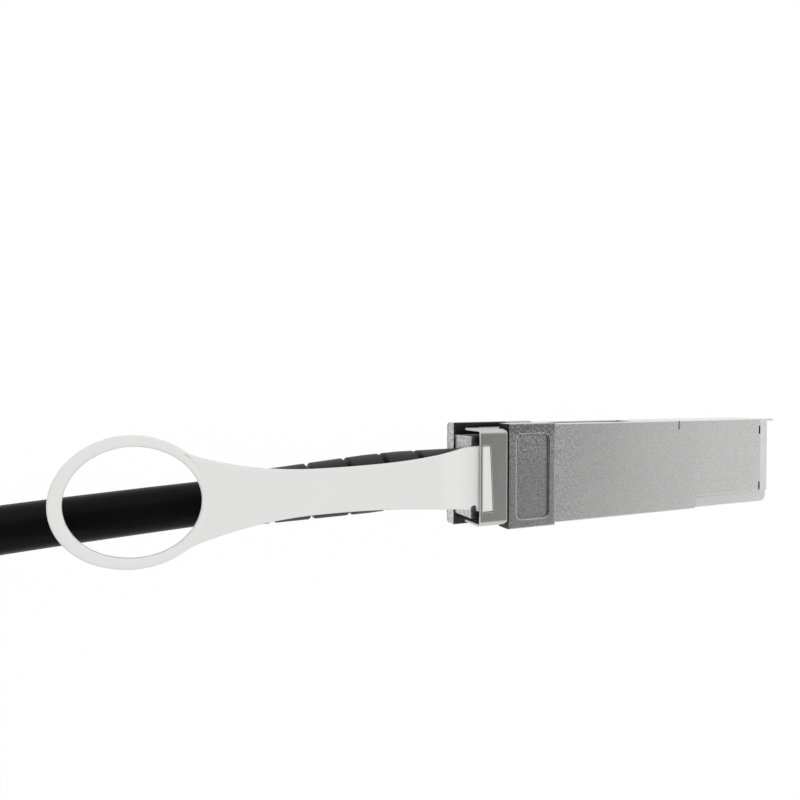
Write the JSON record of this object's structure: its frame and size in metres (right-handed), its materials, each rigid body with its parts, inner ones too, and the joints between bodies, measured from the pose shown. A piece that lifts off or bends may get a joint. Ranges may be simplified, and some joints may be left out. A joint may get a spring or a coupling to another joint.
{
  "type": "direct attach copper cable",
  "caption": "Copper cable that joins two network ports: a round black cable with a latching metal plug and a white pull tab at each end.",
  "frame": {"origin": "on the underside of the near plug, below the middle of its raised block", "axes": "+X along the plug towards its nose, +Y to its right-hand side seen from the cable, +Z out of the face that carries the pull tab"},
  "size_m": [0.2485, 0.1118, 0.0152],
  "materials": {
    "casting": "bare die-cast zinc, matt blasted",
    "screw_steel": "zinc plated",
    "bracket_steel": "satin stainless sheet",
    "tab_plastic": "matt white moulded",
    "spring_steel": "drawn spring wire",
    "card_laminate": "green solder mask",
    "contact_gold": "gold plated",
    "chip_plastic": "moulded black",
    "capacitor_body": "fired ceramic",
    "braid": "tinned braid",
    "crimp_metal": "plain",
    "pair_jacket": "foil film",
    "mould_plastic": "hot melt",
    "boot_plastic": "matt dark grey, moulded",
    "cable_jacket": "satin black, round",
    "tie_fabric": "woven hook-and-loop strap"
  },
  "bodies": {
    "root": {"housing_base": "casting", "housing_cover": "casting", "cover_screws": "screw_steel", "latch_spring_right": "spring_steel", "latch_spring_left": "spring_steel", "paddle_card": "card_laminate", "edge_contacts": "contact_gold", "card_chip": "chip_plastic", "coupling_capacitors": "capacitor_body", "cable_shield": "braid", "crimp_ring": "crimp_metal", "twinax_pairs": "pair_jacket", "inner_mould": "mould_plastic", "strain_relief": "boot_plastic", "far_housing_base": "casting", "far_housing_cover": "casting", "far_cover_screws": "screw_steel", "far_latch_spring_right": "spring_steel", "far_latch_spring_left": "spring_steel", "far_paddle_card": "card_laminate", "far_edge_contacts": "contact_gold", "far_card_chip": "chip_plastic", "far_coupling_capacitors": "capacitor_body", "far_cable_shield": "braid", "far_crimp_ring": "crimp_metal", "far_twinax_pairs": "pair_jacket", "far_inner_mould": "mould_plastic", "far_strain_relief": "boot_plastic", "cable_lead": "cable_jacket", "cable_coil": "cable_jacket", "far_cable_lead": "cable_jacket", "coil_tie": "tie_fabric"},
    "latch": {"latch_bracket": "bracket_steel", "pull_tab": "tab_plastic"},
    "far_latch": {"far_latch_bracket": "bracket_steel", "far_pull_tab": "tab_plastic"}
  },
  "joints": [
    {"name": "latch_slide", "type": "slide", "parent": "root", "child": "latch", "axis": [-1, 0, 0], "range_m": [0, 0.0025], "stiffness_N_per_m": 150, "deforming": ["latch_spring_right", "latch_spring_left"]},
    {"name": "far_latch_slide", "type": "slide", "parent": "root", "child": "far_latch", "axis": [-1, 0, 0], "range_m": [0, 0.0025], "stiffness_N_per_m": 150, "deforming": ["far_latch_spring_right", "far_latch_spring_left"]}
  ]
}
